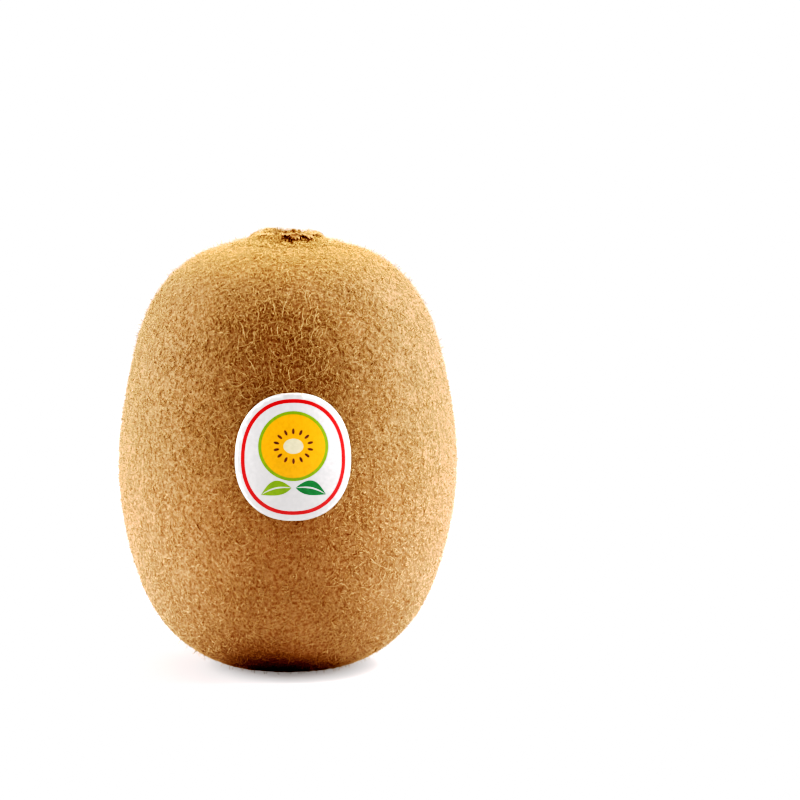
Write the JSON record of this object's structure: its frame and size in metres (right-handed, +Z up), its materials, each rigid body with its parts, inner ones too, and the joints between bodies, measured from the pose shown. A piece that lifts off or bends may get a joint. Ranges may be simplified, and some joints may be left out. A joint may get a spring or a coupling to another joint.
{
  "type": "golden kiwi fruit",
  "caption": "Whole golden kiwi fruit with fuzzy brown skin, standing on its blossom end, with an oval paper label on its front.",
  "frame": {"origin": "middle of the flat spot on the blossom end that the fruit stands on", "axes": "+Z up along the fruit's axis to the stem end, front with the label towards -Y, +X to the right seen from the front"},
  "size_m": [0.0531, 0.0515, 0.0693],
  "materials": {
    "skin": "matt golden brown skin under short felted hairs",
    "label": "coated paper, slightly glossy, printed in yellow, green and red"
  },
  "bodies": {
    "root": {"fruit": "skin", "label": "label"}
  },
  "joints": []
}
